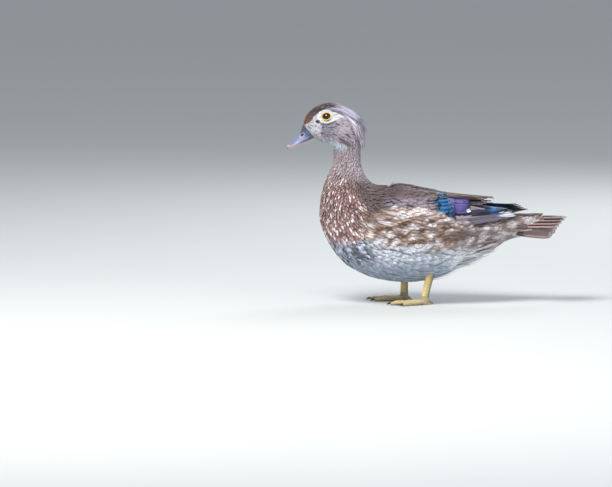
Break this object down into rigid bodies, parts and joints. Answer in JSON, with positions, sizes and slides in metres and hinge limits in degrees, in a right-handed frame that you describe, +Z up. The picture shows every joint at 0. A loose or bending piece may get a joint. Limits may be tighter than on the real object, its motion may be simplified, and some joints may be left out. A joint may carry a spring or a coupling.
{
  "type": "wood duck hen model",
  "caption": "Life-size still model of a wood duck hen standing on both webbed feet, wings folded, neck raised.",
  "frame": {"origin": "on the floor, under the middle of the bird's bounding box", "axes": "+Z up, the bill points to -X and the tail to +X, the bird's left side faces -Y"},
  "size_m": [0.3492, 0.1082, 0.2505],
  "materials": {
    "head_feathers": "soft grey feathers with a white eye patch",
    "body_feathers": "brown feathers with pale dashes, white belly",
    "wing_feathers": "grey brown flight feathers with blue and violet gloss",
    "tail_feathers": "brown tail feathers",
    "bill_horn": "satin blue grey horn",
    "leg_scales": "yellow ochre scaled skin",
    "foot_web": "dusky yellow webbed skin",
    "eye": "wet dark eye"
  },
  "bodies": {
    "root": {"head": "head_feathers", "neck": "body_feathers", "torso": "body_feathers", "eye_left": "eye", "eye_right": "eye", "bill_upper": "bill_horn", "bill_lower": "bill_horn", "wing_left": "wing_feathers", "wing_right": "wing_feathers", "tail": "tail_feathers", "leg_left": "leg_scales", "leg_right": "leg_scales", "foot_left": "foot_web", "foot_right": "foot_web"}
  },
  "joints": []
}
